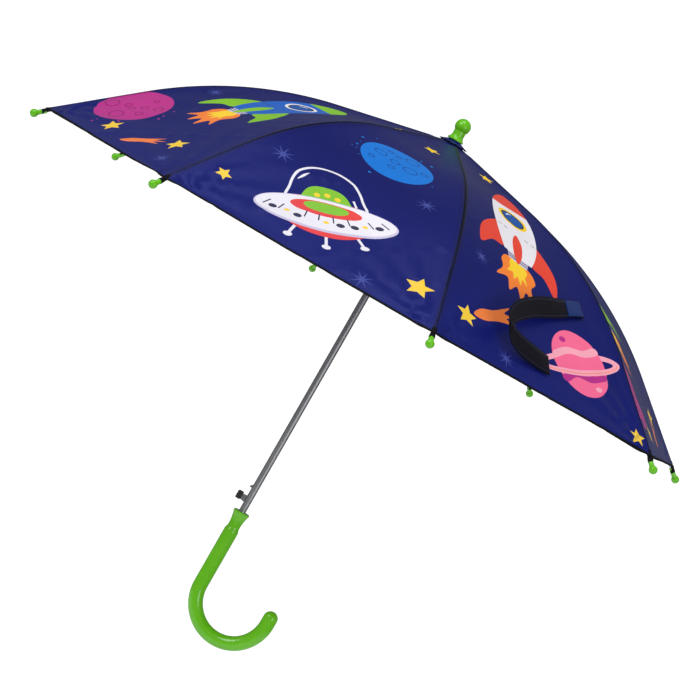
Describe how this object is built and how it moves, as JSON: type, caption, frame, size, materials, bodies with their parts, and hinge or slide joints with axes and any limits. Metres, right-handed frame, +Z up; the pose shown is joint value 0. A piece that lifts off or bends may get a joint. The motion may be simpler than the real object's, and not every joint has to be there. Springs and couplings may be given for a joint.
{
  "type": "children's umbrella",
  "caption": "Child's stick umbrella with a domed printed canopy, ball-ended ribs, a press-button release and a glossy hook handle.",
  "frame": {"origin": "on the shaft's axis, at the middle of the straight grip, where a hand holds it", "axes": "+Z up the shaft towards the ferrule, +X towards the open end of the hook, the button on -X"},
  "size_m": [0.6732, 0.6732, 0.5587],
  "materials": {
    "cloth": "satin navy with printed planets, rockets and saucers",
    "rib_steel": "bright plated wire",
    "green_plastic": "glossy lime green",
    "shaft_steel": "grey plated tube",
    "black_plastic": "black moulded",
    "webbing": "near-black webbing",
    "hinge_plastic": "light grey moulded",
    "small_steel": "plain steel"
  },
  "bodies": {
    "shaft": {"shaft_tube": "shaft_steel", "handle": "green_plastic", "ferrule": "green_plastic", "rosette": "cloth", "notch": "hinge_plastic", "notch_wire": "small_steel", "notch_pin": "small_steel", "stop_pin": "small_steel", "lever_pin": "small_steel", "catch_spring": "small_steel", "opening_spring": "small_steel", "spring_seat": "small_steel"},
    "runner": {"runner": "black_plastic", "runner_wire": "small_steel", "drive_pin": "small_steel"},
    "release": {"release_lever": "small_steel", "button_cap": "black_plastic"},
    "rib_1": {"rib_1": "rib_steel", "tip_1": "green_plastic", "canopy_1": "cloth"},
    "stretcher_1": {"stretcher_1": "rib_steel"},
    "rib_2": {"rib_2": "rib_steel", "tip_2": "green_plastic", "canopy_2": "cloth"},
    "stretcher_2": {"stretcher_2": "rib_steel"},
    "rib_3": {"rib_3": "rib_steel", "tip_3": "green_plastic", "canopy_3": "cloth"},
    "stretcher_3": {"stretcher_3": "rib_steel"},
    "rib_4": {"rib_4": "rib_steel", "tip_4": "green_plastic", "canopy_4": "cloth"},
    "stretcher_4": {"stretcher_4": "rib_steel"},
    "rib_5": {"rib_5": "rib_steel", "tip_5": "green_plastic", "canopy_5": "cloth"},
    "stretcher_5": {"stretcher_5": "rib_steel"},
    "rib_6": {"rib_6": "rib_steel", "tip_6": "green_plastic", "canopy_6": "cloth"},
    "stretcher_6": {"stretcher_6": "rib_steel"},
    "rib_7": {"rib_7": "rib_steel", "tip_7": "green_plastic", "canopy_7": "cloth"},
    "stretcher_7": {"stretcher_7": "rib_steel"},
    "rib_8": {"rib_8": "rib_steel", "tip_8": "green_plastic", "canopy_8": "cloth", "tie_strap": "webbing"},
    "stretcher_8": {"stretcher_8": "rib_steel"}
  },
  "joints": [
    {"name": "rib_1_hinge", "type": "hinge", "parent": "shaft", "child": "rib_1", "pos_m": [0.00647, 0.00268, 0.4448], "axis": [-0.3827, 0.9239, 0], "range_deg": [0, 60.03], "stiffness_Nm_per_rad": 0.8, "springref_deg": -57.3, "deforming": ["canopy_1", "opening_spring"]},
    {"name": "rib_2_hinge", "type": "hinge", "parent": "shaft", "child": "rib_2", "pos_m": [0.00268, 0.00647, 0.4448], "axis": [-0.9239, 0.3827, 0], "range_deg": [0, 60.03], "deforming": ["canopy_2"]},
    {"name": "rib_3_hinge", "type": "hinge", "parent": "shaft", "child": "rib_3", "pos_m": [-0.00268, 0.00647, 0.4448], "axis": [-0.9239, -0.3827, 0], "range_deg": [0, 60.03], "deforming": ["canopy_3"]},
    {"name": "rib_4_hinge", "type": "hinge", "parent": "shaft", "child": "rib_4", "pos_m": [-0.00647, 0.00268, 0.4448], "axis": [-0.3827, -0.9239, 0], "range_deg": [0, 60.03], "deforming": ["canopy_4"]},
    {"name": "rib_5_hinge", "type": "hinge", "parent": "shaft", "child": "rib_5", "pos_m": [-0.00647, -0.00268, 0.4448], "axis": [0.3827, -0.9239, 0], "range_deg": [0, 60.03], "deforming": ["canopy_5"]},
    {"name": "rib_6_hinge", "type": "hinge", "parent": "shaft", "child": "rib_6", "pos_m": [-0.00268, -0.00647, 0.4448], "axis": [0.9239, -0.3827, 0], "range_deg": [0, 60.03], "deforming": ["canopy_6"]},
    {"name": "rib_7_hinge", "type": "hinge", "parent": "shaft", "child": "rib_7", "pos_m": [0.00268, -0.00647, 0.4448], "axis": [0.9239, 0.3827, 0], "range_deg": [0, 60.03], "deforming": ["canopy_7"]},
    {"name": "rib_8_hinge", "type": "hinge", "parent": "shaft", "child": "rib_8", "pos_m": [0.00647, -0.00268, 0.4448], "axis": [0.3827, 0.9239, 0], "range_deg": [0, 60.03], "deforming": ["canopy_8", "tie_strap"]},
    {"name": "stretcher_1_hinge", "type": "hinge", "parent": "rib_1", "child": "stretcher_1", "pos_m": [0.1593, 0.06598, 0.39985], "axis": [-0.3827, 0.9239, 0], "range_deg": [-120.05, 0]},
    {"name": "stretcher_2_hinge", "type": "hinge", "parent": "rib_2", "child": "stretcher_2", "pos_m": [0.06598, 0.1593, 0.39985], "axis": [-0.9239, 0.3827, 0], "range_deg": [-120.05, 0]},
    {"name": "stretcher_3_hinge", "type": "hinge", "parent": "rib_3", "child": "stretcher_3", "pos_m": [-0.06598, 0.1593, 0.39985], "axis": [-0.9239, -0.3827, 0], "range_deg": [-120.05, 0]},
    {"name": "stretcher_4_hinge", "type": "hinge", "parent": "rib_4", "child": "stretcher_4", "pos_m": [-0.1593, 0.06598, 0.39985], "axis": [-0.3827, -0.9239, 0], "range_deg": [-120.05, 0]},
    {"name": "stretcher_5_hinge", "type": "hinge", "parent": "rib_5", "child": "stretcher_5", "pos_m": [-0.1593, -0.06598, 0.39985], "axis": [0.3827, -0.9239, 0], "range_deg": [-120.05, 0]},
    {"name": "stretcher_6_hinge", "type": "hinge", "parent": "rib_6", "child": "stretcher_6", "pos_m": [-0.06598, -0.1593, 0.39985], "axis": [0.9239, -0.3827, 0], "range_deg": [-120.05, 0]},
    {"name": "stretcher_7_hinge", "type": "hinge", "parent": "rib_7", "child": "stretcher_7", "pos_m": [0.06598, -0.1593, 0.39985], "axis": [0.9239, 0.3827, 0], "range_deg": [-120.05, 0]},
    {"name": "stretcher_8_hinge", "type": "hinge", "parent": "rib_8", "child": "stretcher_8", "pos_m": [0.1593, -0.06598, 0.39985], "axis": [0.3827, 0.9239, 0], "range_deg": [-120.05, 0]},
    {"name": "runner_hinge", "type": "hinge", "parent": "stretcher_1", "child": "runner", "pos_m": [0.00647, 0.00268, 0.3549], "axis": [-0.3827, 0.9239, 0], "range_deg": [0, 60.03]},
    {"name": "release_press", "type": "hinge", "parent": "shaft", "child": "release", "pos_m": [0, 0, 0.044], "axis": [0, 1, 0], "range_deg": [0, 7.8], "stiffness_Nm_per_rad": 0.05, "springref_deg": -5.73, "deforming": ["catch_spring"]}
  ],
  "couplings": [
    {"joint": "rib_2_hinge", "follows": "rib_1_hinge", "ratio": 1},
    {"joint": "rib_3_hinge", "follows": "rib_1_hinge", "ratio": 1},
    {"joint": "rib_4_hinge", "follows": "rib_1_hinge", "ratio": 1},
    {"joint": "rib_5_hinge", "follows": "rib_1_hinge", "ratio": 1},
    {"joint": "rib_6_hinge", "follows": "rib_1_hinge", "ratio": 1},
    {"joint": "rib_7_hinge", "follows": "rib_1_hinge", "ratio": 1},
    {"joint": "rib_8_hinge", "follows": "rib_1_hinge", "ratio": 1},
    {"joint": "stretcher_1_hinge", "follows": "rib_1_hinge", "ratio": -2},
    {"joint": "stretcher_2_hinge", "follows": "rib_1_hinge", "ratio": -2},
    {"joint": "stretcher_3_hinge", "follows": "rib_1_hinge", "ratio": -2},
    {"joint": "stretcher_4_hinge", "follows": "rib_1_hinge", "ratio": -2},
    {"joint": "stretcher_5_hinge", "follows": "rib_1_hinge", "ratio": -2},
    {"joint": "stretcher_6_hinge", "follows": "rib_1_hinge", "ratio": -2},
    {"joint": "stretcher_7_hinge", "follows": "rib_1_hinge", "ratio": -2},
    {"joint": "stretcher_8_hinge", "follows": "rib_1_hinge", "ratio": -2},
    {"joint": "runner_hinge", "follows": "rib_1_hinge", "ratio": 1}
  ]
}
